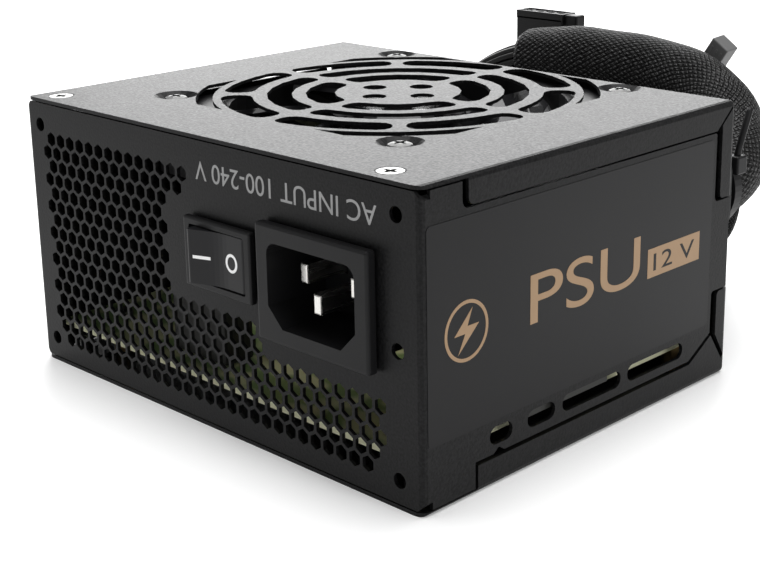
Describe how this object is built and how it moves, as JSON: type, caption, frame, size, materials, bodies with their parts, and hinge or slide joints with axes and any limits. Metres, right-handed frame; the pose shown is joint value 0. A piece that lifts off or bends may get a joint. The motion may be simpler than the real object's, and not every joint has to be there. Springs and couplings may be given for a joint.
{
  "type": "computer power supply unit",
  "caption": "Small black steel power supply box with a top fan behind a slotted round grille, a mains inlet and rocker switch on a honeycomb panel, and two black output cables.",
  "frame": {"origin": "middle of the case's bottom plate, with the cables left out", "axes": "+Z is the fan and grille side, -Y is the panel with the inlet and switch, +Y is the end the cables leave, and +X is the side with the label"},
  "size_m": [0.1317, 0.1719, 0.0672],
  "materials": {
    "black_powder_coat": "textured powder coat",
    "black_plastic": "moulded",
    "glossy_black_plastic": "glossy moulded",
    "grey_plastic": "moulded",
    "label_film": "printed film",
    "plated_brass": "tin-plated",
    "bright_steel": "zinc-plated",
    "brass": "turned",
    "copper_wire": "enamelled copper wire",
    "aluminium": "extruded",
    "green_board": "solder resist on glass-fibre board",
    "grey_insulation": "film and cast resin",
    "yellow_tape": "polyester tape",
    "ferrite": "sintered ferrite",
    "capacitor_sleeve": "shrunk sleeve",
    "brown_sleeve": "shrunk sleeve",
    "black_cable": "braided sleeve and PVC insulation"
  },
  "bodies": {
    "case": {"chassis": "black_powder_coat", "cover": "black_powder_coat", "inlet_housing": "black_plastic", "switch_housing": "black_plastic", "fan_frame": "black_plastic", "cable_grommet": "black_plastic", "main_plug": "black_plastic", "drive_plug": "black_plastic", "bundle_tie": "black_plastic", "small_plug": "grey_plastic", "side_label": "label_film", "inlet_neutral_pin": "plated_brass", "inlet_line_pin": "plated_brass", "inlet_earth_pin": "plated_brass", "switch_terminal_1": "plated_brass", "switch_terminal_2": "plated_brass", "fan_screw_1": "bright_steel", "fan_screw_2": "bright_steel", "fan_screw_3": "bright_steel", "fan_screw_4": "bright_steel", "cover_screw_1": "bright_steel", "cover_screw_2": "bright_steel", "cover_screw_3": "bright_steel", "cover_screw_4": "bright_steel", "board_screw_1": "bright_steel", "board_screw_2": "bright_steel", "board_screw_3": "bright_steel", "board_screw_4": "bright_steel", "fan_bearing": "brass", "board_standoff_1": "brass", "board_standoff_2": "brass", "board_standoff_3": "brass", "board_standoff_4": "brass", "fan_stator": "copper_wire", "output_choke": "copper_wire", "filter_choke": "copper_wire", "primary_heatsink": "aluminium", "secondary_heatsink": "aluminium", "main_board": "green_board", "insulator_sheet": "grey_insulation", "x_capacitor": "grey_insulation", "transformer_winding": "yellow_tape", "standby_transformer": "yellow_tape", "transformer_core": "ferrite", "bulk_capacitor": "capacitor_sleeve", "output_capacitor_1": "brown_sleeve", "output_capacitor_2": "brown_sleeve", "output_capacitor_3": "brown_sleeve", "main_cable": "black_cable", "main_cable_tail": "black_cable", "drive_cable": "black_cable", "drive_hank": "black_cable", "hank_strap": "black_cable", "drive_cable_loop": "black_cable", "drive_cable_end": "black_cable"},
    "fan_rotor": {"fan_rotor": "glossy_black_plastic", "fan_shaft": "bright_steel"},
    "switch_rocker": {"switch_rocker": "black_plastic"}
  },
  "joints": [
    {"name": "fan_spin", "type": "hinge", "parent": "case", "child": "fan_rotor", "pos_m": [-0.0005, 0.0085, 0.053], "axis": [0, 0, 1], "continuous": true},
    {"name": "switch_press", "type": "hinge", "parent": "case", "child": "switch_rocker", "pos_m": [0.0073, -0.0481, 0.0392], "axis": [0, 0, -1], "range_deg": [0, 20]}
  ]
}
